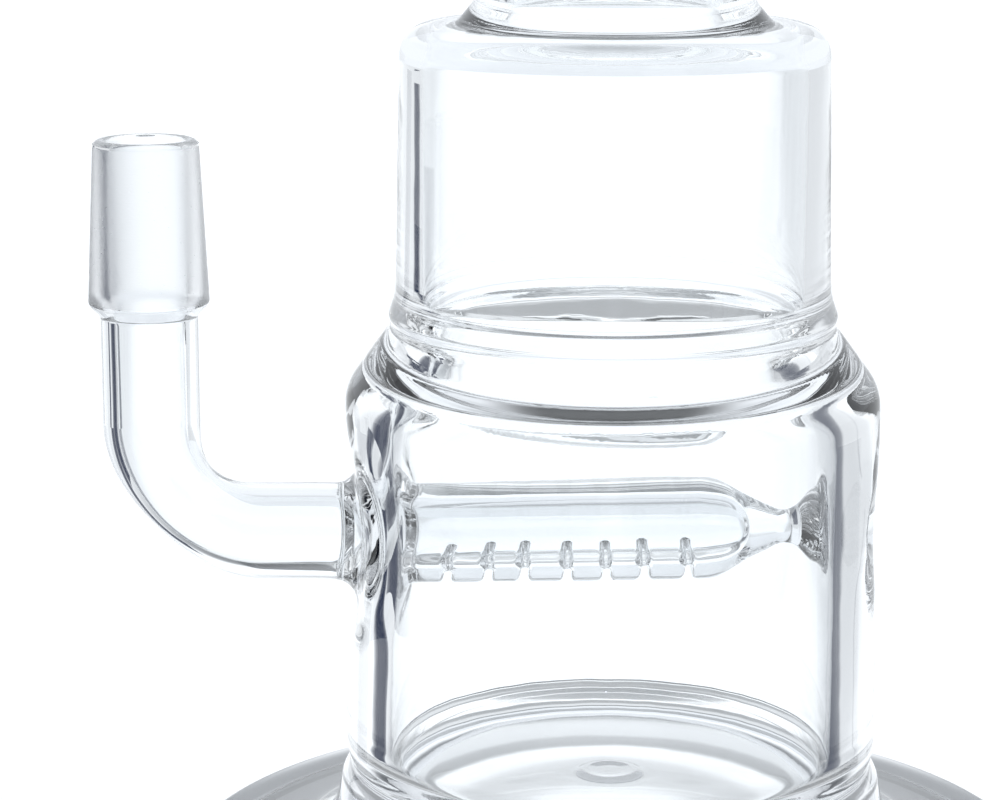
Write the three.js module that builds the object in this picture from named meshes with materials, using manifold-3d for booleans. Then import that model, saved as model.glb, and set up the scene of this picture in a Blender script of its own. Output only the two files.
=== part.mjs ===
// A two-chamber glass gas-washing bubbler with an inline slotted diffuser, in millimetres, +Z up.
// The origin is the centre of the foot's underside. The side arm with the ground cone points to -X.
// Every sub-part is one piece of glass as the glassblower joins them, with a weld gap between pieces.
import * as THREE from "three";
import { mergeVertices } from "three/addons/utils/BufferGeometryUtils.js";
import Module from "manifold-3d";

const wasm = await Module();
wasm.setup();

// Driving dimensions.
const WELD_GAP = 0.3; // clearance left between pieces that are welded face to face
const ROUND = 40; // facets round a chamber
const TUBE_ROUND = 24; // facets round a 12 mm tube
const ARC_STEP = Math.PI / 6; // largest turn between two points of a rounded corner

const FOOT_R = 54;
const FOOT_EDGE_Z = 6.8; // top of the foot at its rim
const FOOT_TOP_Z = 8; // top of the foot where the collar stands
const COLLAR_R = 39; // outer radius of the collar where it spreads on the foot

const LOWER_R = 32.2;
const LOWER_BORE_R = 27.1;
const LOWER_Z = 19.3; // lower end of the lower chamber's tube
const SHOULDER_Z = 65.6; // where the lower chamber's wall turns in, outside and inside
const SHELF_Z = 66.5; // inner edge of the shelf under the shoulder
const SEAM_Z = 73; // top of the lower chamber
const SEAM_R = 27.1;
const FLOOR_Z = 17.3; // the lower chamber's inside floor
const FLOOR_CORNER_R = 5;

const UPPER_R = 25.6;
const UPPER_BORE_R = 22.85;
const UPPER_Z = 76.8; // lower end of the upper chamber's tube
const UPPER_TOP_Z = 109.2;
const UPPER_CEILING_Z = 107.4;
const SEAM_BORE_R = 22.3;

const NECK_R = 15.6;
const NECK_BORE_R = 12.6;
const NECK_Z = 113.5;
const LIP_Z = 186;
const MOUTH_Z = 194;
const MOUTH_R = 19.5;

const AXIS_Z = 47.9; // height of the diffuser's and the arm's horizontal axis
const ARM_X = -55.5; // the arm's vertical axis
const ARM_R = 5.85;
const ARM_BORE_R = 4.1;
const BEND_R = 13.5;
const TUBE_R = 6;
const TUBE_BORE_R = 3;
const TUBE_START_X = -33.6;
const TIP_START_X = 12.6; // where the diffuser's straight tube ends
const DRAWN_X = 16; // where its end has been drawn down to a narrow cone
const DRAWN_R = 4.2;
const TIP_X = 21.9;
const TIP_R = 1.95;
const BORE_ROUND_X = 10.4; // where the bore starts to close in a round end
const BORE_END_X = 16.2;

const JOINT_TOP_Z = 95.2;
const JOINT_WIDE_Z = 75.5;
const JOINT_WIDE_R = 7.25; // 14.5 mm standard taper, 1:10 on the diameter
const JOINT_LOW_Z = 73.6;
const JOINT_BORE_R = 4.6;
const TAPER = 1 / 20; // change of radius per unit of length

const SLOTS = 7;
const SLOT_WIDTH = 1.3;
const SLOT_TOP = -2.6; // top of the slots, measured from the diffuser's axis
const SLOT_FIRST_X = -20;
const SLOT_PITCH = 4.83;
const SLOT_FIRST_LEAN = THREE.MathUtils.degToRad(18);

const clearGlass = { color: 0xeef4f7, roughness: 0.03, metalness: 0 };
const groundGlass = { color: 0xe6eaec, roughness: 0.6, metalness: 0 };

// Corners [radius, height, rounding] to the points of an outline. closed joins the last one to the first.
function outline(corners, closed) {
  const points = [];
  const n = corners.length;
  corners.forEach(([r, z, rounding = 0], i) => {
    const here = new THREE.Vector2(r, z);
    if (!rounding || (!closed && (i === 0 || i === n - 1))) {
      points.push(here);
      return;
    }
    const [before, after] = [corners[(i + n - 1) % n], corners[(i + 1) % n]].map(
      ([x, y]) => new THREE.Vector2(x, y).sub(here).normalize(),
    );
    const half = Math.acos(THREE.MathUtils.clamp(before.dot(after), -1, 1)) / 2;
    const along = rounding / Math.tan(half);
    const centre = before.clone().add(after).normalize();
    centre.multiplyScalar(rounding / Math.sin(half)).add(here);
    const from = before.clone().multiplyScalar(along).add(here).sub(centre);
    const turn = Math.PI - 2 * half;
    const sign = before.cross(after) > 0 ? -1 : 1;
    const steps = Math.max(2, Math.ceil(turn / ARC_STEP));
    for (let k = 0; k <= steps; k++) {
      const angle = (sign * turn * k) / steps;
      points.push(from.clone().rotateAround(new THREE.Vector2(), angle).add(centre));
    }
  });
  if (closed) points.push(points[0].clone());
  return points;
}

// A solid of revolution about +Z. Corners that start and end on the axis make a full body, others a ring.
function turned(corners, facets = ROUND) {
  const closed = corners[0][0] !== 0;
  const points = outline(corners, closed);
  const area = points.reduce((sum, p, i) => sum + p.cross(points[(i + 1) % points.length]), 0);
  if (area < 0) points.reverse();
  return new THREE.LatheGeometry(points, facets).rotateX(Math.PI / 2);
}

// The same about +X at the diffuser's height: corners are [radius, x, rounding].
function turnedAlongX(corners, facets = TUBE_ROUND) {
  return turned(corners, facets).rotateY(Math.PI / 2).translate(0, 0, AXIS_Z);
}

function solid(geometry) {
  const bare = geometry.clone();
  bare.deleteAttribute("normal");
  bare.deleteAttribute("uv");
  const merged = mergeVertices(bare, 1e-4);
  return new wasm.Manifold(
    new wasm.Mesh({
      numProp: 3,
      vertProperties: merged.attributes.position.array,
      triVerts: new Uint32Array(merged.index.array),
    }),
  );
}

function geometryOf(made) {
  const mesh = made.getMesh();
  return new THREE.BufferGeometry()
    .setAttribute("position", new THREE.BufferAttribute(mesh.vertProperties, 3))
    .setIndex(new THREE.BufferAttribute(mesh.triVerts, 1));
}

const part = new THREE.Group();

function add(name, geometry, look = clearGlass) {
  const mesh = new THREE.Mesh(geometry, new THREE.MeshStandardMaterial(look));
  mesh.name = name;
  part.add(mesh);
}

// Base: a solid round foot, the flared collar that welds the chamber to it, and the chamber's floor.
function foot() {
  return turned([
    [0, 0],
    [FOOT_R, 0, 2.6],
    [FOOT_R, FOOT_EDGE_Z, 3.2],
    [COLLAR_R, FOOT_TOP_Z],
    [0, FOOT_TOP_Z],
  ]);
}

function footCollar() {
  const low = FOOT_TOP_Z + WELD_GAP;
  const high = LOWER_Z - WELD_GAP;
  return turned([
    [LOWER_BORE_R, low],
    [COLLAR_R, low],
    [COLLAR_R - 0.4, low + 1],
    [LOWER_R + 1.4, low + 3, 4],
    [LOWER_R + 0.6, high - 1.4],
    [LOWER_R - 0.6, high],
    [LOWER_BORE_R, high],
  ]);
}

// A plug with a dished rim, which rounds the chamber's inside corner, and a low nub where it was sealed.
function chamberFloor() {
  const r = LOWER_BORE_R - WELD_GAP;
  const nubR = 5;
  return turned([
    [0, FOOT_TOP_Z + WELD_GAP],
    [r, FOOT_TOP_Z + WELD_GAP],
    [r, FLOOR_Z + FLOOR_CORNER_R],
    [r - 0.4, FLOOR_Z + FLOOR_CORNER_R],
    [r - 0.6, FLOOR_Z, FLOOR_CORNER_R],
    [nubR, FLOOR_Z],
    [nubR * 0.6, FLOOR_Z + 0.7],
    [0, FLOOR_Z + 0.9],
  ]);
}

// Lower chamber: a thick tube drawn in to the seam, with a hole for the diffuser.
function lowerChamber() {
  const shell = turned([
    [LOWER_BORE_R, LOWER_Z],
    [LOWER_R - 0.6, LOWER_Z],
    [LOWER_R, LOWER_Z + 1.2],
    [LOWER_R, SHOULDER_Z, 6],
    [SEAM_R + 0.3, SEAM_Z - 1],
    [SEAM_R, SEAM_Z],
    [SEAM_BORE_R, SEAM_Z],
    [SEAM_BORE_R + 0.2, SHELF_Z],
    [LOWER_BORE_R, SHOULDER_Z],
  ]);
  const drill = turnedAlongX([
    [0, -LOWER_R - 5],
    [TUBE_R + WELD_GAP, -LOWER_R - 5],
    [TUBE_R + WELD_GAP, -LOWER_BORE_R + 8],
    [0, -LOWER_BORE_R + 8],
  ]);
  return geometryOf(solid(shell).subtract(solid(drill)));
}

// The bead where the two chambers are welded, and the upper chamber with its flat top and neck hole.
function seamRing() {
  return turned([
    [SEAM_BORE_R, SEAM_Z + WELD_GAP],
    [SEAM_R - 0.1, SEAM_Z + WELD_GAP],
    [SEAM_R - 0.1, UPPER_Z - WELD_GAP, 1.4],
    [UPPER_BORE_R, UPPER_Z - WELD_GAP],
    [SEAM_BORE_R, UPPER_Z - 1.8],
  ]);
}

function upperChamber() {
  return turned([
    [UPPER_BORE_R, UPPER_Z],
    [UPPER_R + 0.2, UPPER_Z],
    [UPPER_R - 0.2, UPPER_TOP_Z, 3.6],
    [NECK_BORE_R + 0.8, UPPER_TOP_Z],
    [NECK_BORE_R + 0.8, UPPER_CEILING_Z],
    [UPPER_BORE_R, UPPER_CEILING_Z, 3],
  ]);
}

// Neck: a flared weld on the upper chamber, the tube, and the mouthpiece's thick flared lip.
function neckCollar() {
  const low = UPPER_TOP_Z + WELD_GAP;
  return turned([
    [NECK_BORE_R + 0.6, low],
    [NECK_R + 3, low],
    [NECK_R + 0.4, low + 1.2, 2.5],
    [NECK_R, NECK_Z - WELD_GAP],
    [NECK_BORE_R, NECK_Z - WELD_GAP],
  ]);
}

function neckTube() {
  return turned([
    [NECK_BORE_R, NECK_Z],
    [NECK_R, NECK_Z],
    [NECK_R, LIP_Z - WELD_GAP],
    [NECK_BORE_R, LIP_Z - WELD_GAP],
  ]);
}

function mouthLip() {
  return turned([
    [NECK_BORE_R, LIP_Z],
    [NECK_R, LIP_Z],
    [NECK_R + 0.6, LIP_Z + 3, 6],
    [MOUTH_R, MOUTH_Z - 1.5, 1.6],
    [MOUTH_R - 0.8, MOUTH_Z, 0.8],
    [MOUTH_R - 3.4, MOUTH_Z, 0.6],
    [NECK_BORE_R + 0.4, LIP_Z + 2, 8],
  ]);
}

// Side arm: the ground cone, the elbow, and the weld round the tube on the chamber's outer wall.
function armJoint() {
  const narrow = JOINT_WIDE_R - (JOINT_TOP_Z - JOINT_WIDE_Z) * TAPER;
  return turned([
    [ARM_BORE_R, JOINT_LOW_Z],
    [ARM_R, JOINT_LOW_Z],
    [JOINT_WIDE_R, JOINT_WIDE_Z],
    [narrow, JOINT_TOP_Z, 0.8],
    [JOINT_BORE_R, JOINT_TOP_Z],
    [JOINT_BORE_R, JOINT_WIDE_Z + 1],
    [ARM_BORE_R, JOINT_WIDE_Z - 1],
  ]).translate(ARM_X, 0, 0);
}

class ElbowCurve extends THREE.Curve {
  constructor(startZ, endX) {
    super();
    this.startZ = startZ;
    this.down = startZ - (AXIS_Z + BEND_R);
    this.turn = (BEND_R * Math.PI) / 2;
    this.across = endX - (ARM_X + BEND_R);
  }

  getPoint(t, target = new THREE.Vector3()) {
    const s = t * (this.down + this.turn + this.across);
    if (s < this.down) return target.set(ARM_X, 0, this.startZ - s);
    const angle = (s - this.down) / BEND_R;
    if (angle > Math.PI / 2) return target.set(ARM_X + BEND_R + s - this.down - this.turn, 0, AXIS_Z);
    const x = ARM_X + BEND_R * (1 - Math.cos(angle));
    return target.set(x, 0, AXIS_Z + BEND_R * (1 - Math.sin(angle)));
  }
}

function armTube() {
  const section = new THREE.Shape().absarc(0, 0, ARM_R, 0, 2 * Math.PI);
  section.holes.push(new THREE.Path().absarc(0, 0, ARM_BORE_R, 0, 2 * Math.PI, true));
  return new THREE.ExtrudeGeometry(section, {
    extrudePath: new ElbowCurve(JOINT_LOW_Z - WELD_GAP, TUBE_START_X - WELD_GAP),
    steps: 18,
    curveSegments: TUBE_ROUND / 2,
    bevelEnabled: false,
  });
}

function wall(radius) {
  return solid(turned([[0, LOWER_Z], [radius, LOWER_Z], [radius, SHOULDER_Z], [0, SHOULDER_Z]]));
}

function armWeld() {
  const ring = turnedAlongX([
    [TUBE_R + WELD_GAP, -LOWER_R - 4.6],
    [TUBE_R + 0.7, -LOWER_R - 4.6],
    [TUBE_R + 0.9, -LOWER_R - 1.6, 2],
    [TUBE_R + 2.6, -LOWER_R + 2],
    [TUBE_R + WELD_GAP, -LOWER_R + 2],
  ]);
  return geometryOf(solid(ring).subtract(wall(LOWER_R + WELD_GAP)));
}

// Inside the chamber: the ring seal round the tube, the slotted diffuser, and the boss on its drawn tip.
function innerWeld() {
  const ring = turnedAlongX([
    [TUBE_R + WELD_GAP, -LOWER_BORE_R - 1],
    [TUBE_R + 2.2, -LOWER_BORE_R - 1],
    [TUBE_R + 2.2, -LOWER_BORE_R + 1.6, 1],
    [TUBE_R + 0.9, -LOWER_BORE_R + 3.2, 0.4],
    [TUBE_R + WELD_GAP, -LOWER_BORE_R + 3.2],
  ]);
  return geometryOf(solid(ring).intersect(wall(LOWER_BORE_R - WELD_GAP)));
}

function slotCutter(index) {
  const height = 6;
  const lean = SLOT_FIRST_LEAN * (1 - index / (SLOTS - 1));
  const cut = new THREE.BoxGeometry(SLOT_WIDTH, 4 * TUBE_R, height);
  return cut
    .translate(0, 0, -height / 2)
    .rotateY(lean)
    .translate(SLOT_FIRST_X + SLOT_PITCH * index, 0, AXIS_Z + SLOT_TOP);
}

function diffuserTube() {
  const tube = turnedAlongX([
    [ARM_BORE_R, TUBE_START_X],
    [TUBE_R, TUBE_START_X],
    [TUBE_R, TIP_START_X, 5],
    [DRAWN_R, DRAWN_X, 4],
    [TIP_R, TIP_X],
    [0, TIP_X],
    [0, BORE_END_X],
    [TUBE_BORE_R * 0.55, BORE_END_X - 0.9],
    [TUBE_BORE_R, BORE_ROUND_X, 5],
    [TUBE_BORE_R, TUBE_START_X + 7.6],
    [ARM_BORE_R, TUBE_START_X + 1.6],
  ]);
  let made = solid(tube);
  for (let i = 0; i < SLOTS; i++) made = made.subtract(solid(slotCutter(i)));
  return geometryOf(made);
}

function tipWeld() {
  const boss = turnedAlongX([
    [0, TIP_X + WELD_GAP],
    [TIP_R, TIP_X + WELD_GAP],
    [TIP_R + 1, TIP_X + 1.8],
    [TIP_R + 3.3, LOWER_BORE_R - 1.4],
    [TIP_R + 3.3, LOWER_BORE_R + 1],
    [0, LOWER_BORE_R + 1],
  ]);
  return geometryOf(solid(boss).intersect(wall(LOWER_BORE_R - WELD_GAP)));
}

add("foot", foot());
add("foot_collar", footCollar());
add("chamber_floor", chamberFloor());
add("lower_chamber", lowerChamber());
add("seam_ring", seamRing());
add("upper_chamber", upperChamber());
add("neck_collar", neckCollar());
add("neck_tube", neckTube());
add("mouth_lip", mouthLip());
add("arm_joint", armJoint(), groundGlass);
add("arm_tube", armTube());
add("arm_weld", armWeld());
add("inner_weld", innerWeld());
add("diffuser_tube", diffuserTube());
add("tip_weld", tipWeld());

export default part;
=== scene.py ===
"""A two-chamber glass bubbler with an inline slotted diffuser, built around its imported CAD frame.

The glass is one fused body, so every piece meets its neighbours on weld faces that let light straight
through, and only the real surfaces bend it. Round pieces are turned from one smooth outline of the vessel.
The pieces with melted joins are meshed from a distance field. Lengths are in millimetres, and meshes and the
stage are in metres.
"""
import math

import bmesh
import bpy
import numpy as np
from mathutils import Matrix, Vector


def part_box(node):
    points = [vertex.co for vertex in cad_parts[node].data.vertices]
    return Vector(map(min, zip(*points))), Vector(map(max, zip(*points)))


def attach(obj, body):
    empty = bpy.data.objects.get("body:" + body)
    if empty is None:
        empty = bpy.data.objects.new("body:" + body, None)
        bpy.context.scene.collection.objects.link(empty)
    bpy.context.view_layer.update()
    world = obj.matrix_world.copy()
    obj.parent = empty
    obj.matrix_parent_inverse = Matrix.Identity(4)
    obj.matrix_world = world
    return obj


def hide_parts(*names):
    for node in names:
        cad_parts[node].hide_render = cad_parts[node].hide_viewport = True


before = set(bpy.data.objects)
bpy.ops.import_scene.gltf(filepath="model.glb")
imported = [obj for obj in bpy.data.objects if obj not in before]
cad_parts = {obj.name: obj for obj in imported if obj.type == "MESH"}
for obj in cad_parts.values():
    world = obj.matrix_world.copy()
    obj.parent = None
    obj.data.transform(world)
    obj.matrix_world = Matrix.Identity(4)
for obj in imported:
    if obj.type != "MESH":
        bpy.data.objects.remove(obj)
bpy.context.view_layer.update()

MM = 0.001
SURFACE, WELD, GROUND = 0, 1, 2  # material slots of a glass piece
ROUND = 256  # facets round the vessel
GLASS_IOR = 1.474


def low(node, axis):
    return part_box(node)[0][axis] / MM


def high(node, axis):
    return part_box(node)[1][axis] / MM


# Sizes taken from the frame.
FOOT_R = high("foot", 0)
FOOT_Z = high("foot", 2)
COLLAR_R = high("foot_collar", 0) - 1
WALL_LOW_Z = low("lower_chamber", 2)
WALL_R = high("lower_chamber", 0)
SEAM_Z = high("lower_chamber", 2)
RING_TOP_Z = low("upper_chamber", 2)
UPPER_R = high("upper_chamber", 0) - 0.2
UPPER_TOP_Z = high("upper_chamber", 2)
NECK_Z = low("neck_tube", 2)
NECK_R = high("neck_tube", 0)
LIP_Z = low("mouth_lip", 2)
MOUTH_Z = high("mouth_lip", 2)
MOUTH_R = high("mouth_lip", 0)
ARM_X = (low("arm_joint", 0) + high("arm_joint", 0)) / 2
CONE_LOW_Z = low("arm_joint", 2)
CONE_TOP_Z = high("arm_joint", 2)
CONE_WIDE_R = (high("arm_joint", 0) - low("arm_joint", 0)) / 2
AXIS_Z = (low("diffuser_tube", 2) + high("diffuser_tube", 2)) / 2
COLLAR_X = -WALL_R - 1.2  # where the arm's flared weld leaves the wall
ARM_END_X = low("arm_weld", 0) - 0.6  # where the flared weld meets the arm's tube

# Sizes of the glass itself.
BORE_R = 27.1  # lower chamber's inside radius
UPPER_BORE_R = 22.9
SEAM_BORE_R = 22.2
NECK_BORE_R = 12.6
FLOOR_Z = 17.3
CEILING_Z = UPPER_TOP_Z - 1.9
TUBE_BORE_R = 3.0
ARM_R = 5.85
ARM_BORE_R = 4.1
CONE_BORE_R = 4.6
BEND_R = 13.5  # of the arm's middle line


# ---------------------------------------------------------------- outlines

def rounded(corners, arc_step=math.radians(4)):
    """Points along corners (radius, height, rounding), with an arc of its rounding at each corner."""
    points = [np.array(corners[0][:2], float)]
    for before, here, after in zip(corners, corners[1:], corners[2:]):
        p = np.array(here[:2], float)
        size = here[2] if len(here) > 2 else 0
        back = np.array(before[:2]) - p
        on = np.array(after[:2]) - p
        back /= np.linalg.norm(back)
        on /= np.linalg.norm(on)
        half = math.acos(np.clip(back @ on, -1, 1)) / 2
        if not size or half > math.radians(89.5):
            points.append(p)
            continue
        middle = (back + on) / np.linalg.norm(back + on)
        centre = p + middle * size / math.sin(half)
        start = p + back * size / math.tan(half) - centre
        turn = math.pi - 2 * half
        turn *= 1 if start[0] * on[1] - start[1] * on[0] > 0 else -1
        for a in np.linspace(0, turn, max(3, int(abs(turn) / arc_step) + 1)):
            c, s = math.cos(a), math.sin(a)
            points.append(centre + [c * start[0] - s * start[1], s * start[0] + c * start[1]])
    points.append(np.array(corners[-1][:2], float))
    return np.array(points)


def evened(points, step=0.1, blur=0.35):
    """The same line in equal steps, with its curvature evened out over a few tenths of a millimetre."""
    along = np.concatenate([[0], np.cumsum(np.linalg.norm(np.diff(points, axis=0), axis=1))])
    places = np.linspace(0, along[-1], int(along[-1] / step) + 2)
    line = np.stack([np.interp(places, along, points[:, i]) for i in (0, 1)], 1)
    reach = int(3 * blur / step)
    weights = np.exp(-0.5 * (np.arange(-reach, reach + 1) * step / blur) ** 2)
    weights /= weights.sum()
    ends = 2 * line[0] - line[reach:0:-1], 2 * line[-1] - line[-2:-reach - 2:-1]
    padded = np.concatenate([ends[0], line, ends[1]])
    return np.stack([np.convolve(padded[:, i], weights, "valid") for i in (0, 1)], 1)


# The whole vessel's outside, from the middle of the underside up to the lip, and its inside back down.
OUTSIDE = evened(rounded([
    (0, 0),
    (FOOT_R, 0, 2.8),
    (FOOT_R, FOOT_Z - 1, 3.2),
    (COLLAR_R + 1.5, FOOT_Z + 0.1, 5),
    (34.6, 10.6, 4),
    (33.5, 14, 4),
    (32.9, 17.2, 1.2),
    (31.7, WALL_LOW_Z, 0.7),
    (WALL_R + 0.15, WALL_LOW_Z + 2.1, 1.6),
    (WALL_R, 62, 20),
    (32.1, 65.6, 6),
    (27.4, SEAM_Z - 1.0, 1.0),
    (26.4, SEAM_Z + 0.2, 0.5),
    (27.0, SEAM_Z + 1.3, 0.7),
    (26.3, RING_TOP_Z - 0.6, 0.8),
    (UPPER_R + 0.45, RING_TOP_Z + 0.6, 1),
    (UPPER_R + 0.2, RING_TOP_Z + 10, 30),
    (25.4, UPPER_TOP_Z - 0.4, 3.6),
    (NECK_R + 3.2, UPPER_TOP_Z - 0.3, 1.2),
    (NECK_R + 1.0, UPPER_TOP_Z + 2.3, 3),
    (NECK_R, NECK_Z + 2, 6),
    (NECK_R, LIP_Z, 8),
    (MOUTH_R + 0.1, MOUTH_Z - 1.4, 1.6),
    (MOUTH_R - 0.9, MOUTH_Z, 1),
    (MOUTH_R - 2, MOUTH_Z),
]))
INSIDE = evened(rounded([
    (MOUTH_R - 2, MOUTH_Z),
    (MOUTH_R - 3, MOUTH_Z, 1),
    (NECK_BORE_R + 0.4, LIP_Z + 1, 9),
    (NECK_BORE_R, LIP_Z - 8, 20),
    (NECK_BORE_R, NECK_Z - 1, 8),
    (NECK_BORE_R + 0.8, CEILING_Z, 1.0),
    (22.8, CEILING_Z, 3.0),
    (UPPER_BORE_R, 92, 30),
    (UPPER_BORE_R, 75.9, 0.6),
    (SEAM_BORE_R, 75.0, 0.6),
    (SEAM_BORE_R + 0.2, 66.5, 0.5),
    (BORE_R, 65.6, 0.6),
    (BORE_R, FLOOR_Z + 6.5, 1),
    (BORE_R - 0.1, FLOOR_Z + 0.1, 5.2),
    (9, FLOOR_Z - 0.1, 8),
    (4.2, FLOOR_Z - 0.05, 1),
    (3.3, FLOOR_Z + 0.38, 0.8),
    (1.9, FLOOR_Z + 0.12, 1),
    (0, FLOOR_Z + 0.16),
]))


def stretch(line, start, end):
    """The part of an outline from where it passes start to where it passes end.

    Each is (coordinate, value), or None for the outline's own end.
    """
    def place(at, default):
        if at is None:
            return default
        axis, value = at
        over = line[:, axis] > value
        return int(np.flatnonzero(over[1:] != over[:-1])[0])

    first, last = place(start, 0), place(end, len(line) - 1)
    part = line[first:last + 1].copy()
    if start is not None:
        part[0, start[0]] = start[1]
    if end is not None:
        part[-1, end[0]] = end[1]
    return part


def thinned(line, turn=math.radians(2.5), longest=5.0):
    """Fewer points where an outline is straight, and the outward normals at the points kept."""
    tangents = np.gradient(line, axis=0)
    tangents /= np.linalg.norm(tangents, axis=1)[:, None]
    normals = np.stack([tangents[:, 1], -tangents[:, 0]], 1)
    kept = [0]
    for i in range(1, len(line) - 1):
        last = kept[-1]
        bent = math.acos(np.clip(tangents[i] @ tangents[last], -1, 1)) > turn
        if bent or np.linalg.norm(line[i] - line[last]) > longest:
            kept.append(i)
    kept.append(len(line) - 1)
    return line[kept], normals[kept]


# ---------------------------------------------------------------- meshes

def mesh_object(name, points, faces, slots, normals, materials):
    """A mesh piece in metres. normals holds one normal for every corner of every face."""
    mesh = bpy.data.meshes.new(name)
    mesh.from_pydata((np.asarray(points) * MM).tolist(), [], [tuple(map(int, f)) for f in faces])
    for m in materials:
        mesh.materials.append(m)
    mesh.polygons.foreach_set("material_index", np.asarray(slots, np.int32))
    mesh.polygons.foreach_set("use_smooth", np.ones(len(mesh.polygons), bool))
    mesh.normals_split_custom_set(np.asarray(normals, float).tolist())
    mesh.update()
    piece = bpy.data.objects.new(name, mesh)
    bpy.context.scene.collection.objects.link(piece)
    return piece


def turned(name, runs, materials, facets=ROUND):
    """A solid of revolution about the Z axis from runs of an outline, each (line, slot), joined end to end.

    The runs go round the section with the glass on their left, or start and end on the axis.
    """
    rings, ring_normals, bands = [], [], []
    for line, slot in runs:
        points, normals = thinned(line) if slot != WELD else (line, np.zeros((len(line), 2)))
        if slot == WELD:
            t = (line[-1] - line[0]) / np.linalg.norm(line[-1] - line[0])
            normals[:] = (t[1], -t[0])
        for i in range(len(points) - 1):
            bands.append((len(rings), len(rings) + 1, slot, normals[i], normals[i + 1]))
            rings.append(points[i])
    closed = np.linalg.norm(np.array(rings[0]) - runs[-1][0][-1]) < 1e-3
    if closed:
        bands[-1] = (bands[-1][0], 0, *bands[-1][2:])
    else:
        rings.append(runs[-1][0][-1])
    angles = np.arange(facets) * 2 * math.pi / facets
    around = np.stack([np.cos(angles), np.sin(angles)], 1)
    points, first = [], []
    for r, z in rings:
        first.append(len(points))
        if r < 1e-6:
            points.append((0, 0, z))
        else:
            points += [(r * c, r * s, z) for c, s in around]
    faces, slots, corners = [], [], []
    for a, b, slot, na, nb in bands:
        for k in range(facets):
            k2 = (k + 1) % facets
            loop = []
            if rings[a][0] < 1e-6:
                loop = [(first[a], na, k), (first[b] + k2, nb, k2), (first[b] + k, nb, k)]
            elif rings[b][0] < 1e-6:
                loop = [(first[a] + k, na, k), (first[a] + k2, na, k2), (first[b], nb, k)]
            else:
                loop = [(first[a] + k, na, k), (first[a] + k2, na, k2),
                        (first[b] + k2, nb, k2), (first[b] + k, nb, k)]
            faces.append([v for v, _, _ in loop])
            corners += [(n[0] * around[j][0], n[0] * around[j][1], n[1]) for _, n, j in loop]
            slots.append(slot)
    return mesh_object(name, points, faces, slots, corners, materials)


def level(a, b):
    """A straight weld line between two points of an outline."""
    return np.array([a, b], float)


# ---------------------------------------------------------------- distance fields

def soft_union(a, b, size):
    share = np.clip(0.5 + 0.5 * (b - a) / size, 0, 1)
    return b + (a - b) * share - size * share * (1 - share)


def soft_cut(a, b, size):
    return -soft_union(-a, b, size)


def profile(line, along, wanted):
    """A function of one coordinate from an outline, for the stretch where wanted is true."""
    part = line[wanted(line)]
    part = part[np.argsort(part[:, along])]
    return lambda at: np.interp(at, part[:, along], part[:, 1 - along])


wall_outside = profile(OUTSIDE, 1, lambda p: (p[:, 1] > 12) & (p[:, 1] < 90))
wall_inside = profile(INSIDE, 1, lambda p: (p[:, 0] > 20) & (p[:, 1] > FLOOR_Z + 1.5) & (p[:, 1] < 90))

# Radius of the diffuser's outside and of its bore along X.
TUBE_OUTSIDE = evened(rounded([
    (-40, 5.85), (-30, 5.9), (-20, 6.0, 30), (7, 6.2, 20), (12.8, 6.1, 5), (16.0, 4.15, 5),
    (21.1, 1.7, 2.5), (22.9, 2.5, 1.5), (24.9, 4.4, 2), (26.6, 4.9), (30, 5.2)]), step=0.05, blur=0.3)
tube_radius = profile(TUBE_OUTSIDE, 0, lambda p: p[:, 0] > -50)
BORE_END_X = 16.2
BORE_ROUND_X = 10.4  # where the bore starts to close in a long round end


def tube_axis(x):
    """Height of the diffuser's axis: the tube rises a little towards its tip."""
    return AXIS_Z - 0.5 + 0.019 * (x + 26) * np.clip((x + 36) / 6, 0, 1)


def slot_field(p, q_z):
    """The gas slots: seven cuts from below, with mouths melted wider than their throats."""
    x = p[:, 0]
    field = np.full(len(x), 1e3)
    for i in range(7):
        centre = -20.0 + 4.83 * i + 0.25 * math.sin(2.3 * i)
        lean = 0.24 * max(0, 1 - i / 4)
        depth = -(q_z + 3.5 + 0.2 * math.cos(1.7 * i))
        half_width = 0.48 + 0.5 * np.clip((depth - 1.2) / 1.8, 0, 1) ** 2
        across = np.abs(x - centre + lean * (depth - 2)) - half_width
        one = np.maximum(across, -depth)
        near = np.hypot(np.maximum(across + 0.45, 0), np.maximum(-depth + 0.45, 0)) - 0.45
        one = np.where((across > -0.45) & (depth < 0.45), near, one)
        field = np.minimum(field, one)
    return field


def glass_field(p):
    """Signed distance to the lower chamber's wall with its welds and the diffuser, negative in the glass.

    The wall draws in round the arm (pinch) and the tip's boss (dimple), and thickens inside at both.
    """
    x, y, z = p[:, 0], p[:, 1], p[:, 2]
    r = np.hypot(x, y)
    q_z = z - tube_axis(x)
    q = np.hypot(y, q_z)
    left = np.clip(-x / 10, 0, 1)
    right = np.clip(x / 10, 0, 1)
    pinch = 1.3 * np.exp(-((q - 8.5) / 4.0) ** 2) * left
    dimple = 2.0 * np.exp(-(q / 5.6) ** 2) * right
    swell = 1.2 * np.exp(-(q / 9.0) ** 2) * left
    outer = wall_outside(z) - pinch - dimple
    inner = wall_inside(z) - swell - 0.5 * np.exp(-(q / 6) ** 2) * right
    wall = np.maximum(r - outer, inner - r)
    tube = q - tube_radius(x)
    tube = np.maximum(tube, x - 29)
    size = np.where(x < 0, 2.6, 1.8)
    body = soft_union(wall, tube, size)
    start = np.maximum(x - BORE_ROUND_X, 0) * TUBE_BORE_R / (BORE_END_X - BORE_ROUND_X)
    funnel = np.clip((-25.0 - x) / 7, 0, 1)
    bore_r = TUBE_BORE_R + (ARM_BORE_R - TUBE_BORE_R) * funnel * funnel * (3 - 2 * funnel)
    body = soft_cut(body, np.hypot(q, start) - bore_r, 0.3)
    cut = np.maximum(slot_field(p, q_z), q - 9)
    return soft_cut(body, cut, 0.5)


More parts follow.
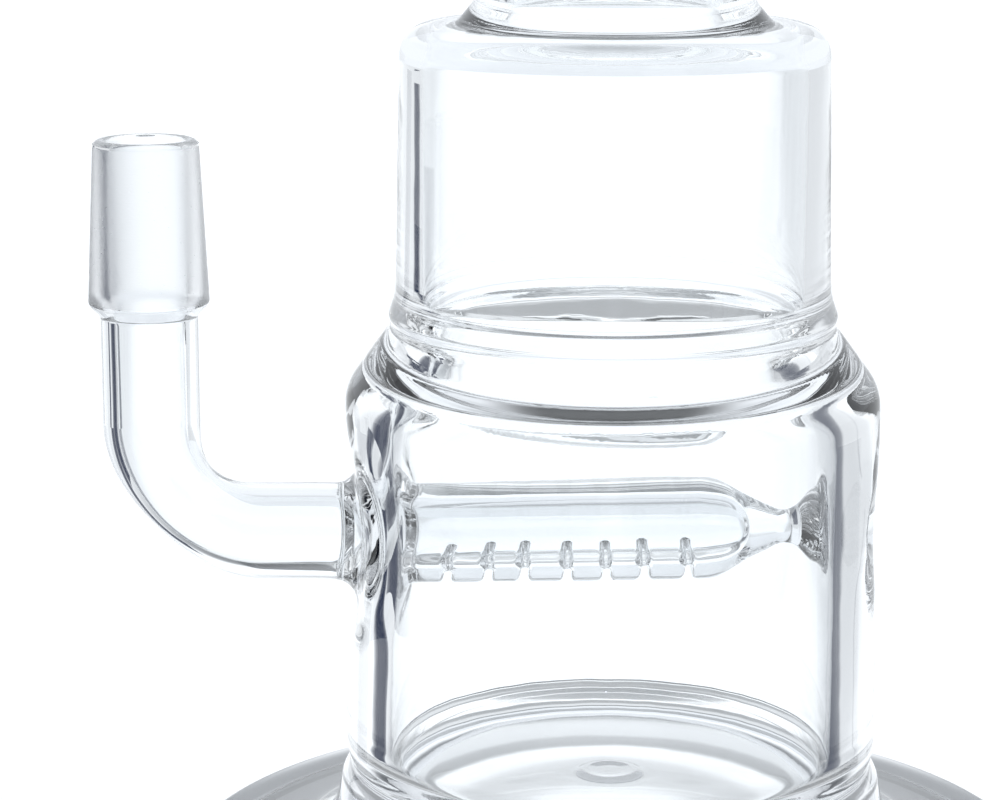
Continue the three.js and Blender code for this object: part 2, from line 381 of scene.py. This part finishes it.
def gradient(field, p, step=0.02):
    g = np.empty_like(p)
    for axis in range(3):
        d = np.zeros(3)
        d[axis] = step
        g[:, axis] = (field(p + d) - field(p - d)) / (2 * step)
    return g


def settled(field, p, rounds=4):
    """Points moved on to the field's zero surface."""
    for _ in range(rounds):
        g = gradient(field, p)
        f = field(p)
        p = p - np.clip(f / np.maximum((g * g).sum(1), 0.05), -0.3, 0.3)[:, None] * g
    return p


def netted(field, start, end, cell):
    """The zero surface of a field inside a box, as points and four-cornered faces that turn outwards."""
    axes = [np.arange(a, b + cell, cell) for a, b in zip(start, end)]
    shape = tuple(len(a) for a in axes)
    values = np.empty(shape, np.float32)
    for i, x in enumerate(axes[0]):
        yy, zz = np.meshgrid(axes[1], axes[2], indexing="ij")
        layer = np.stack([np.full(yy.size, x), yy.ravel(), zz.ravel()], 1)
        values[i] = field(layer).reshape(shape[1:])
    inside = values < 0
    cells = tuple(n - 1 for n in shape)
    total = np.zeros((*cells, 3), np.float32)
    count = np.zeros(cells, np.int16)
    corners = [(i, j, k) for i in (0, 1) for j in (0, 1) for k in (0, 1)]

    def part(a, c):
        return a[c[0]:c[0] + cells[0], c[1]:c[1] + cells[1], c[2]:c[2] + cells[2]]

    for a in corners:
        for axis in range(3):
            if a[axis]:
                continue
            b = tuple(1 if n == axis else a[n] for n in range(3))
            va, vb = part(values, a), part(values, b)
            crossed = part(inside, a) != part(inside, b)
            share = va[crossed] / (va[crossed] - vb[crossed])
            where = np.tile(np.array(a, np.float32), (len(share), 1))
            where[:, axis] = share
            total[crossed] += where
            count[crossed] += 1
    used = count > 0
    index = np.full(cells, -1, np.int64)
    index[used] = np.arange(used.sum())
    points = (np.argwhere(used) + total[used] / count[used][:, None]) * cell + np.array(start)
    faces = []
    for axis in range(3):
        u, v = (axis + 1) % 3, (axis + 2) % 3
        a_side = [slice(1, -1)] * 3
        a_side[axis] = slice(0, -1)
        b_side = list(a_side)
        b_side[axis] = slice(1, None)
        a, b = inside[tuple(a_side)], inside[tuple(b_side)]
        at = np.argwhere(a != b)
        at[:, u] += 1
        at[:, v] += 1
        leaving = a[a != b]

        def cell_at(du, dv):
            c = at.copy()
            c[:, u] -= du
            c[:, v] -= dv
            return index[c[:, 0], c[:, 1], c[:, 2]]

        quads = np.stack([cell_at(1, 1), cell_at(0, 1), cell_at(0, 0), cell_at(1, 0)], 1)
        quads[~leaving] = quads[~leaving][:, ::-1]
        faces.append(quads)
    return points, np.concatenate(faces)


def cut_piece(name, field, points, faces, cuts, materials):
    """A closed piece of a netted surface. Each cut (point, normal) keeps what is behind it, and caps it."""
    bm = bmesh.new()
    verts = [bm.verts.new(p) for p in points]
    for f in faces:
        bm.faces.new([verts[i] for i in f])
    for place, normal in cuts:
        made = bmesh.ops.bisect_plane(
            bm, geom=bm.verts[:] + bm.edges[:] + bm.faces[:], dist=1e-5,
            plane_co=place, plane_no=normal, clear_outer=True)
        rim = [e for e in made["geom_cut"] if isinstance(e, bmesh.types.BMEdge)]
        cap = bmesh.ops.triangle_fill(bm, use_beauty=True, edges=rim, normal=normal)
        for f in cap["geom"]:
            if isinstance(f, bmesh.types.BMFace):
                f.material_index = WELD
                f.normal_update()
                if f.normal.dot(Vector(normal)) < 0:
                    f.normal_flip()
    bm.verts.index_update()
    p = np.array([v.co for v in bm.verts])
    g = gradient(field, p)
    g /= np.linalg.norm(g, axis=1)[:, None]
    polygons, slots, normals = [], [], []
    for f in bm.faces:
        f.normal_update()
        polygons.append([v.index for v in f.verts])
        slots.append(f.material_index)
        if f.material_index == WELD:
            normals += [tuple(f.normal)] * len(f.verts)
        else:
            normals += [tuple(g[v.index]) for v in f.verts]
    bm.free()
    return mesh_object(name, p, polygons, slots, normals, materials)


# ---------------------------------------------------------------- materials

def new_material(name):
    material = bpy.data.materials.new(name)
    material.use_nodes = True
    material.node_tree.nodes.clear()
    return material, material.node_tree.nodes, material.node_tree.links


def clear_glass():
    """Borosilicate glass with the faint striae of lampwork."""
    material, nodes, links = new_material("clear_glass")
    out = nodes.new("ShaderNodeOutputMaterial")
    glass = nodes.new("ShaderNodeBsdfPrincipled")
    glass.inputs["Transmission Weight"].default_value = 1
    glass.inputs["Roughness"].default_value = 0
    glass.inputs["IOR"].default_value = GLASS_IOR
    place = nodes.new("ShaderNodeTexCoord")
    striae = nodes.new("ShaderNodeTexNoise")
    striae.inputs["Scale"].default_value = 110
    striae.inputs["Detail"].default_value = 2
    tint = nodes.new("ShaderNodeMix")
    tint.data_type = "RGBA"
    tint.inputs["A"].default_value = (0.972, 0.985, 0.992, 1)
    tint.inputs["B"].default_value = (0.982, 0.990, 0.995, 1)
    bump = nodes.new("ShaderNodeBump")
    bump.inputs["Strength"].default_value = 0.04
    bump.inputs["Distance"].default_value = 0.0006
    links.new(place.outputs["Object"], striae.inputs["Vector"])
    links.new(striae.outputs["Fac"], tint.inputs["Factor"])
    links.new(tint.outputs["Result"], glass.inputs["Base Color"])
    links.new(striae.outputs["Fac"], bump.inputs["Height"])
    links.new(bump.outputs["Normal"], glass.inputs["Normal"])
    links.new(glass.outputs["BSDF"], out.inputs["Surface"])
    return material


def weld_face():
    """The inside of fused glass, where nothing is seen."""
    material, nodes, links = new_material("weld_face")
    out = nodes.new("ShaderNodeOutputMaterial")
    open_face = nodes.new("ShaderNodeBsdfTransparent")
    links.new(open_face.outputs["BSDF"], out.inputs["Surface"])
    return material


def ground_glass():
    """The cone's frosted surface, ground round and round."""
    material, nodes, links = new_material("ground_glass")
    out = nodes.new("ShaderNodeOutputMaterial")
    glass = nodes.new("ShaderNodeBsdfPrincipled")
    glass.inputs["Transmission Weight"].default_value = 1
    glass.inputs["IOR"].default_value = GLASS_IOR
    place = nodes.new("ShaderNodeTexCoord")
    squash = nodes.new("ShaderNodeMapping")
    squash.inputs["Scale"].default_value = (0.25, 0.25, 1)
    lines = nodes.new("ShaderNodeTexNoise")
    lines.inputs["Scale"].default_value = 5200
    lines.inputs["Detail"].default_value = 3
    rough = nodes.new("ShaderNodeMapRange")
    rough.inputs["To Min"].default_value = 0.24
    rough.inputs["To Max"].default_value = 0.36
    tint = nodes.new("ShaderNodeMix")
    tint.data_type = "RGBA"
    tint.inputs["A"].default_value = (0.95, 0.96, 0.97, 1)
    tint.inputs["B"].default_value = (0.99, 0.995, 1.0, 1)
    bump = nodes.new("ShaderNodeBump")
    bump.inputs["Strength"].default_value = 0.35
    bump.inputs["Distance"].default_value = 0.00005
    links.new(place.outputs["Object"], squash.inputs["Vector"])
    links.new(squash.outputs["Vector"], lines.inputs["Vector"])
    links.new(lines.outputs["Fac"], rough.inputs["Value"])
    links.new(lines.outputs["Fac"], tint.inputs["Factor"])
    links.new(lines.outputs["Fac"], bump.inputs["Height"])
    links.new(rough.outputs["Result"], glass.inputs["Roughness"])
    links.new(tint.outputs["Result"], glass.inputs["Base Color"])
    links.new(bump.outputs["Normal"], glass.inputs["Normal"])
    links.new(glass.outputs["BSDF"], out.inputs["Surface"])
    return material


GLASS = [clear_glass(), weld_face(), ground_glass()]


def keep(piece, slot, *nodes):
    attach(piece, "root")
    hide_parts(*nodes)


# ---------------------------------------------------------------- turned pieces

def foot():
    skin = OUTSIDE[:last_wide_point() + 1]
    top = level(skin[-1], (0, FOOT_Z))
    keep(turned("foot", [(skin, SURFACE), (top, WELD)], GLASS), "clear_glass", "foot")


def last_wide_point():
    """Index on the outside where the foot's top has come in to the collar."""
    wide = (OUTSIDE[:, 0] > COLLAR_R) & (OUTSIDE[:, 1] < 20)
    return int(np.flatnonzero(wide)[-1])


def foot_collar():
    start = last_wide_point()
    skin = stretch(OUTSIDE[start:], None, (1, WALL_LOW_Z))
    inside = (BORE_R, WALL_LOW_Z)
    under = (BORE_R, FOOT_Z)
    runs = [(skin, SURFACE), (level(skin[-1], inside), WELD), (level(inside, under), WELD),
            (level(under, skin[0]), WELD)]
    keep(turned("foot_collar", runs, GLASS), "clear_glass", "foot_collar")


def chamber_floor():
    skin = stretch(INSIDE, (1, WALL_LOW_Z), None)
    rim = (BORE_R, WALL_LOW_Z)
    under = (BORE_R, FOOT_Z)
    runs = [(level((0, FOOT_Z), under), WELD), (level(under, rim), WELD), (level(rim, skin[0]), WELD),
            (skin, SURFACE)]
    keep(turned("chamber_floor", runs, GLASS), "clear_glass", "chamber_floor")


def wall_piece(name, bottom, top, node):
    """A ring of the vessel's wall between two heights. None as the top means that it ends at the mouth."""
    outer = stretch(OUTSIDE[OUTSIDE[:, 1] > bottom - 1], (1, bottom), (1, top) if top else None)
    inner = stretch(INSIDE, (1, top) if top else None, (1, bottom))
    runs = [(outer, SURFACE)]
    if top:
        runs.append((level(outer[-1], inner[0]), WELD))
    runs += [(inner, SURFACE), (level(inner[-1], outer[0]), WELD)]
    keep(turned(name, runs, GLASS), "clear_glass", node)


foot()
foot_collar()
chamber_floor()
wall_piece("seam_ring", SEAM_Z, RING_TOP_Z, "seam_ring")
wall_piece("upper_chamber", RING_TOP_Z, UPPER_TOP_Z + 0.15, "upper_chamber")
wall_piece("neck_collar", UPPER_TOP_Z + 0.15, NECK_Z, "neck_collar")
wall_piece("neck_tube", NECK_Z, LIP_Z, "neck_tube")
wall_piece("mouth_lip", LIP_Z, None, "mouth_lip")


# ---------------------------------------------------------------- melted pieces

def chamber_pieces():
    """The lower chamber with its welds, and the arm's flared weld cut from the same surface."""
    points, faces = netted(
        glass_field, (ARM_END_X - 1.5, -WALL_R - 1.5, WALL_LOW_Z - 1.2),
        (WALL_R + 1.5, WALL_R + 1.5, SEAM_Z + 1.2), 0.4)
    points = settled(glass_field, points)
    bottom = ((0, 0, WALL_LOW_Z), (0, 0, -1))
    top = ((0, 0, SEAM_Z), (0, 0, 1))
    wall = cut_piece("lower_chamber", glass_field, points, faces,
                     [bottom, top, ((COLLAR_X, 0, 0), (-1, 0, 0))], GLASS)
    keep(wall, "clear_glass", "lower_chamber", "inner_weld", "tip_weld", "diffuser_tube")
    weld = cut_piece("arm_weld", glass_field, points, faces,
                     [((COLLAR_X, 0, 0), (1, 0, 0)), ((ARM_END_X, 0, 0), (-1, 0, 0))], GLASS)
    keep(weld, "clear_glass", "arm_weld")


chamber_pieces()


# ---------------------------------------------------------------- side arm

def arm_route(steps=48):
    """Centres and directions down the arm: straight down, a quarter bend, and in to the weld."""
    level_z = float(tube_axis(np.array([ARM_END_X]))[0])
    down = np.linspace(CONE_LOW_Z, level_z + BEND_R, 5)[:-1]
    centres = [(ARM_X, 0, z) for z in down]
    ways = [(0, 0, -1)] * len(down)
    pinch = [0.0] * len(down)
    for a in np.linspace(0, math.pi / 2, steps):
        centres.append((ARM_X + BEND_R * (1 - math.cos(a)), 0, level_z + BEND_R * (1 - math.sin(a))))
        ways.append((math.sin(a), 0, -math.cos(a)))
        pinch.append(math.sin(2 * a) ** 2)
    for x in np.linspace(ARM_X + BEND_R, ARM_END_X, 4)[1:]:
        centres.append((x, 0, level_z))
        ways.append((1, 0, 0))
        pinch.append(0.0)
    return np.array(centres, float), np.array(ways, float), np.array(pinch)


def arm_tube(facets=96):
    centres, ways, pinch = arm_route()
    side = np.array([0.0, 1, 0])
    angles = np.arange(facets) * 2 * math.pi / facets
    points, faces, slots, normals = [], [], [], []
    count = len(centres)
    for radius, way_in in ((ARM_R, 1), (ARM_BORE_R, -1)):
        for c, w, s in zip(centres, ways, pinch):
            up = np.cross(side, w)
            flat = 1 - 0.17 * s * radius / ARM_R
            points += [c + radius * (math.cos(a) * side + flat * math.sin(a) * up) for a in angles]
    grid = np.array(points).reshape(2, count, facets, 3)
    for layer, sign in ((0, 1), (1, -1)):
        along = np.gradient(grid[layer], axis=0)
        around = np.roll(grid[layer], -1, 1) - np.roll(grid[layer], 1, 1)
        n = np.cross(around, along)
        n /= np.linalg.norm(n, axis=2)[:, :, None]
        outwards = grid[layer] - centres[:, None, :]
        n *= np.sign((n * outwards).sum(2).mean()) * sign
        base = layer * count * facets
        for i in range(count - 1):
            for k in range(facets):
                k2 = (k + 1) % facets
                loop = [(i, k), (i, k2), (i + 1, k2), (i + 1, k)]
                if sign > 0:
                    loop = loop[::-1]
                faces.append([base + a * facets + b for a, b in loop])
                normals += [n[a, b] for a, b in loop]
                slots.append(SURFACE)
    for i, way in ((0, -ways[0]), (count - 1, ways[-1])):
        for k in range(facets):
            k2 = (k + 1) % facets
            a, b = i * facets, (count + i) * facets
            loop = [a + k, a + k2, b + k2, b + k]
            faces.append(loop if i == 0 else loop[::-1])
            normals += [way] * 4
            slots.append(WELD)
    piece = mesh_object("arm_tube", points, faces, slots, normals, GLASS)
    keep(piece, "clear_glass", "arm_tube")


def arm_joint():
    narrow_r = CONE_WIDE_R - (CONE_TOP_Z - CONE_LOW_Z - 2) / 20
    outer = evened(rounded([
        (ARM_R, CONE_LOW_Z), (ARM_R, CONE_LOW_Z + 0.4, 0.6), (CONE_WIDE_R, CONE_LOW_Z + 1.9, 0.5),
        (narrow_r + 0.03, CONE_TOP_Z - 0.5)]), step=0.05, blur=0.15)
    wide = int(np.argmax(outer[:, 0]))
    rim = evened(rounded([
        outer[-1], (narrow_r, CONE_TOP_Z, 0.9), (CONE_BORE_R + 0.1, CONE_TOP_Z, 0.7),
        (CONE_BORE_R, CONE_TOP_Z - 3, 4), (CONE_BORE_R, CONE_LOW_Z + 3.4, 3),
        (ARM_BORE_R, CONE_LOW_Z + 1, 2), (ARM_BORE_R, CONE_LOW_Z)]), step=0.05, blur=0.12)
    rim[0], rim[-1] = outer[-1], (ARM_BORE_R, CONE_LOW_Z)
    runs = [(outer[:wide + 1], SURFACE), (outer[wide:], GROUND), (rim, SURFACE),
            (level(rim[-1], outer[0]), WELD)]
    piece = turned("arm_joint", runs, GLASS, 128)
    piece.data.transform(Matrix.Translation((ARM_X * MM, 0, 0)))
    keep(piece, "ground_glass", "arm_joint")


arm_tube()
arm_joint()


# ---------------------------------------------------------------- stage

def math_node(nodes, links, operation, a, b=0.0):
    """A Math node on two values, each a number or another node's output."""
    node = nodes.new("ShaderNodeMath")
    node.operation = operation
    for socket, value in zip(node.inputs, (a, b)):
        if isinstance(value, (int, float)):
            socket.default_value = value
        else:
            links.new(value, socket)
    return node.outputs[0]


def lit_by(nodes, links, value, stops):
    """A brightness that follows value through (place, brightness) stops. The curve itself holds halves."""
    ramp = nodes.new("ShaderNodeFloatCurve")
    first, last = stops[0][0], stops[-1][0]
    spread = nodes.new("ShaderNodeMapRange")
    spread.inputs["From Min"].default_value = first
    spread.inputs["From Max"].default_value = last
    curve = ramp.mapping.curves[0]
    curve.points[0].location = (0, stops[0][1] / 2)
    curve.points[-1].location = (1, stops[-1][1] / 2)
    for place, brightness in stops[1:-1]:
        curve.points.new((place - first) / (last - first), brightness / 2)
    ramp.mapping.update()
    links.new(value, spread.inputs["Value"])
    links.new(spread.outputs["Result"], ramp.inputs["Value"])
    return math_node(nodes, links, "MULTIPLY", ramp.outputs["Value"], 2.0)


def seen_from(nodes, links, x, y):
    """Turn and distance of a place on the floor, as seen from the point x, y on it."""
    place = nodes.new("ShaderNodeTexCoord")
    parts = nodes.new("ShaderNodeSeparateXYZ")
    links.new(place.outputs["Object"], parts.inputs[0])
    across = math_node(nodes, links, "SUBTRACT", parts.outputs["X"], x)
    along = math_node(nodes, links, "SUBTRACT", parts.outputs["Y"], y)
    turn = math_node(nodes, links, "ARCTAN2", across, along)
    square_x = math_node(nodes, links, "POWER", across, 2.0)
    square_y = math_node(nodes, links, "POWER", along, 2.0)
    return turn, math_node(nodes, links, "SQRT", math_node(nodes, links, "ADD", square_x, square_y))


# Painted light on the floor's glow: a painted bright strip by the turn seen from below the camera, and
# painted rings of light and shade by the distance from the vessel's axis.
PAINTED_STRIP_LEVELS = [
    (-3.14, 0.75), (-1.2, 0.75), (-0.6, 0.78), (-0.24, 0.85), (-0.165, 1.08), (-0.1, 1.16), (0, 1.16),
    (0.16, 1.14), (0.24, 0.8), (0.4, 0.75), (1.2, 0.75), (3.14, 0.75)]
# Painted rings of light and shade on the floor under the foot, by distance from the axis.
PAINTED_RINGS_UNDER_FOOT = [
    (0, 0.85), (0.006, 1.0), (0.012, 0.75), (0.017, 0.7), (0.021, 1.05), (0.0245, 1.15), (0.0262, 0.38),
    (0.0285, 0.38), (0.03, 0.7), (0.0345, 0.75), (0.0372, 0.25), (0.045, 0.2), (0.053, 0.15),
    (0.0575, 1.0), (0.07, 1.0), (0.16, 1.0)]
# Painted shadow round the foot, at its sides and in front: the share of the floor's glow taken, by distance
# and by turn.
PAINTED_SHADOW_REACH = [(0, 0), (0.05, 0.5), (0.056, 0.75), (0.075, 0.7), (0.1, 0.4), (0.16, 0)]
PAINTED_SHADOW_TURNS = [(-3.14, 1), (-1.3, 1), (-1.08, 0), (1.08, 0), (1.3, 1), (3.14, 1)]
# Where the rays that graze the walls' and the arm's inside edges leave from, on the floor.
LEFT_EDGE = (-0.028, -0.007)
RIGHT_EDGE = (0.028, -0.007)
ARM_EDGE = (-0.058, -0.002)
CAMERA_FOOT = (-0.0135, -0.372)  # the place under the camera


def stage_floor():
    """A pale glowing table with painted light: brightest in a painted strip behind the object, dimmer under
    its foot in painted rings of shade, and a painted shadow round the foot.
    """
    material, nodes, links = new_material("floor")
    out = nodes.new("ShaderNodeOutputMaterial")
    base = nodes.new("ShaderNodeBsdfDiffuse")
    base.inputs["Color"].default_value = (0.1, 0.115, 0.14, 1)
    glow = nodes.new("ShaderNodeEmission")
    glow.inputs["Color"].default_value = (0.955, 0.98, 1.0, 1)
    both = nodes.new("ShaderNodeAddShader")
    strip_turn, _ = seen_from(nodes, links, *CAMERA_FOOT)
    round_turn, radius = seen_from(nodes, links, 0.0, 0.0)
    # Painted light: the painted strip's level times the painted rings' level under the foot.
    light = math_node(nodes, links, "MULTIPLY", lit_by(nodes, links, strip_turn, PAINTED_STRIP_LEVELS),
                      lit_by(nodes, links, radius, PAINTED_RINGS_UNDER_FOOT))
    # Painted shadow: dims the floor's glow round the foot.
    painted_shadow = math_node(nodes, links, "MULTIPLY", lit_by(nodes, links, radius, PAINTED_SHADOW_REACH),
                     lit_by(nodes, links, round_turn, PAINTED_SHADOW_TURNS))
    light = math_node(nodes, links, "MULTIPLY", light, math_node(nodes, links, "SUBTRACT", 1.0, painted_shadow))
    links.new(light, glow.inputs["Strength"])
    links.new(base.outputs[0], both.inputs[0])
    links.new(glow.outputs[0], both.inputs[1])
    links.new(both.outputs[0], out.inputs["Surface"])
    bpy.ops.mesh.primitive_circle_add(vertices=64, radius=6, fill_type="NGON", location=(0, 0, -0.0002))
    floor = bpy.context.object
    floor.name = "floor"
    floor.data.materials.append(material)


def painted_shade_sheet(name, apex, shade, near, far):
    """A strip of painted shade on the floor: a near-black glowing sheet, out of the camera's sight, that
    only the glass's edges pick up.

    It spreads from its apex between the first and last turn of shade, a list of (degrees, share covered).
    """
    material, nodes, links = new_material(name)
    out = nodes.new("ShaderNodeOutputMaterial")
    # Painted shade: a near-black glow, mixed in by the share covered.
    painted_dark = nodes.new("ShaderNodeEmission")
    painted_dark.inputs["Color"].default_value = (0.012, 0.022, 0.06, 1)
    bare = nodes.new("ShaderNodeBsdfTransparent")
    edge = nodes.new("ShaderNodeMixShader")
    turn, _ = seen_from(nodes, links, *apex)
    stops = [(math.radians(t), cover) for t, cover in shade]
    links.new(lit_by(nodes, links, turn, stops), edge.inputs["Fac"])
    links.new(bare.outputs[0], edge.inputs[1])
    links.new(painted_dark.outputs[0], edge.inputs[2])
    links.new(edge.outputs[0], out.inputs["Surface"])
    turns = np.radians(np.linspace(shade[0][0], shade[-1][0], 9))
    rim = [(apex[0] + far * math.sin(a), apex[1] + far * math.cos(a), 0.0005) for a in turns]
    rim += [(apex[0] + near * math.sin(a), apex[1] + near * math.cos(a), 0.0005) for a in turns[::-1]]
    mesh = bpy.data.meshes.new(name)
    mesh.from_pydata(rim, [], [tuple(range(len(rim)))])
    mesh.materials.append(material)
    strip = bpy.data.objects.new(name, mesh)
    bpy.context.scene.collection.objects.link(strip)
    strip.visible_camera = False
    strip.visible_shadow = False
    strip.visible_diffuse = False


def world_light():
    """A light room above the pale floor, darker towards the camera's side and overhead."""
    world = bpy.data.worlds.new("studio")
    bpy.context.scene.world = world
    world.use_nodes = True
    nodes, links = world.node_tree.nodes, world.node_tree.links
    nodes.clear()
    out = nodes.new("ShaderNodeOutputWorld")
    back = nodes.new("ShaderNodeBackground")
    place = nodes.new("ShaderNodeTexCoord")
    parts = nodes.new("ShaderNodeSeparateXYZ")
    side = nodes.new("ShaderNodeMapRange")
    side.interpolation_type = "SMOOTHSTEP"
    side.inputs["From Min"].default_value = -0.45
    side.inputs["From Max"].default_value = 0.2
    side.inputs["To Min"].default_value = 0.2
    side.inputs["To Max"].default_value = 1.05
    height = nodes.new("ShaderNodeMapRange")
    height.interpolation_type = "SMOOTHSTEP"
    height.inputs["From Min"].default_value = 0.6
    height.inputs["From Max"].default_value = 0.92
    height.inputs["To Min"].default_value = 1.0
    height.inputs["To Max"].default_value = 0.45
    back.inputs["Color"].default_value = (0.91, 0.95, 1.0, 1)
    links.new(place.outputs["Generated"], parts.inputs[0])
    links.new(parts.outputs["Y"], side.inputs["Value"])
    links.new(parts.outputs["Z"], height.inputs["Value"])
    light = math_node(nodes, links, "MULTIPLY", side.outputs["Result"], height.outputs["Result"])
    links.new(light, back.inputs["Strength"])
    links.new(back.outputs["Background"], out.inputs["Surface"])


def softbox(name, place, target, side, power):
    lamp = bpy.data.lights.new(name, "AREA")
    lamp.shape = "SQUARE"
    lamp.size = side
    lamp.energy = power
    box = bpy.data.objects.new(name, lamp)
    box.location = place
    box.rotation_euler = (Vector(target) - Vector(place)).to_track_quat("-Z", "Y").to_euler()
    bpy.context.scene.collection.objects.link(box)


def camera():
    lens = bpy.data.cameras.new("camera")
    lens.lens = 113.6
    lens.sensor_width = 36
    lens.clip_start = 0.01
    eye = bpy.data.objects.new("camera", lens)
    eye.location = (-0.0135, -0.3721, 0.142)
    eye.rotation_euler = (math.radians(78.1), 0, 0)
    bpy.context.scene.collection.objects.link(eye)
    bpy.context.scene.camera = eye


stage_floor()
# Painted shade: dark sheets hidden from the camera, which give the glass's edges their dark lines.
painted_shade_sheet("painted_shade_far", LEFT_EDGE, [(-43, 0), (-41, 0.9), (-37, 1), (-36, 0.9), (-34.5, 0)], 0.3, 1.3)
painted_shade_sheet("painted_shade_near", LEFT_EDGE, [(-53, 0), (-51, 0.95), (-43, 1), (-40.5, 0.8), (-37.5, 0)], 0.06, 0.3)
painted_shade_sheet("painted_shade_arm", ARM_EDGE, [(-70, 0), (-64, 0.9), (-56, 1), (-50, 0.8), (-46, 0)], 0.1, 0.6)
painted_shade_sheet("painted_shade_right", RIGHT_EDGE, [
    (35.2, 0), (35.9, 0.25), (36.4, 0.25), (37.1, 0), (50, 0), (54, 0.7), (68, 0.8), (74, 0)], 0.06, 0.3)
world_light()
softbox("key_softbox", (0.5, -0.9, 0.7), (0, 0, 0.08), 0.5, 0.6)
camera()

scene = bpy.context.scene
scene.view_settings.view_transform = "Standard"
scene.cycles.max_bounces = 32
scene.cycles.transmission_bounces = 32
scene.cycles.glossy_bounces = 16
scene.cycles.transparent_max_bounces = 64
